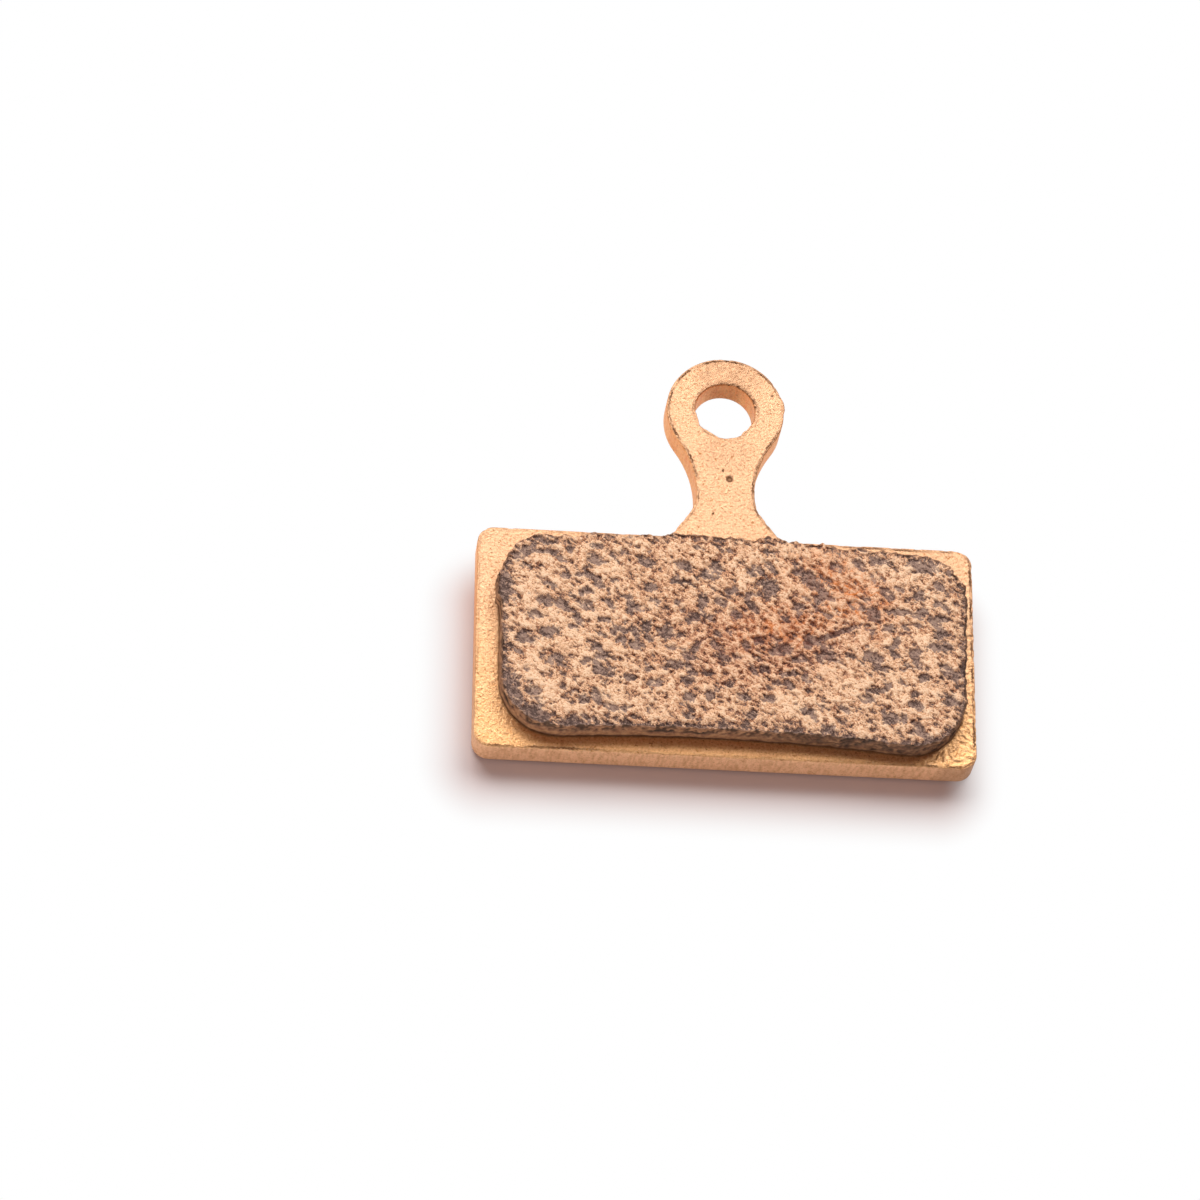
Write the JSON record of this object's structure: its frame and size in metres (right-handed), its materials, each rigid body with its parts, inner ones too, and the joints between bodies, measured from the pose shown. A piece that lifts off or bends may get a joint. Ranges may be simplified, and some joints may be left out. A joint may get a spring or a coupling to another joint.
{
  "type": "bicycle disc brake pad",
  "caption": "Flat bicycle disc brake pad: an arched block of sintered friction metal on a bronze-plated steel plate, with a waisted tab and an eye for the pad pin.",
  "frame": {"origin": "on the axis of the pin hole, at the plate's back face", "axes": "+X along the plate, +Y from the plate towards the eye, +Z out of the friction face"},
  "size_m": [0.0296, 0.0264, 0.0032],
  "materials": {
    "plated_steel": "bronze-plated steel, satin with a fine hammered grain",
    "sintered_metal": "sintered, worn, tan plateaus with dark pits"
  },
  "bodies": {
    "root": {"back_plate": "plated_steel", "friction_pad": "sintered_metal"}
  },
  "joints": []
}
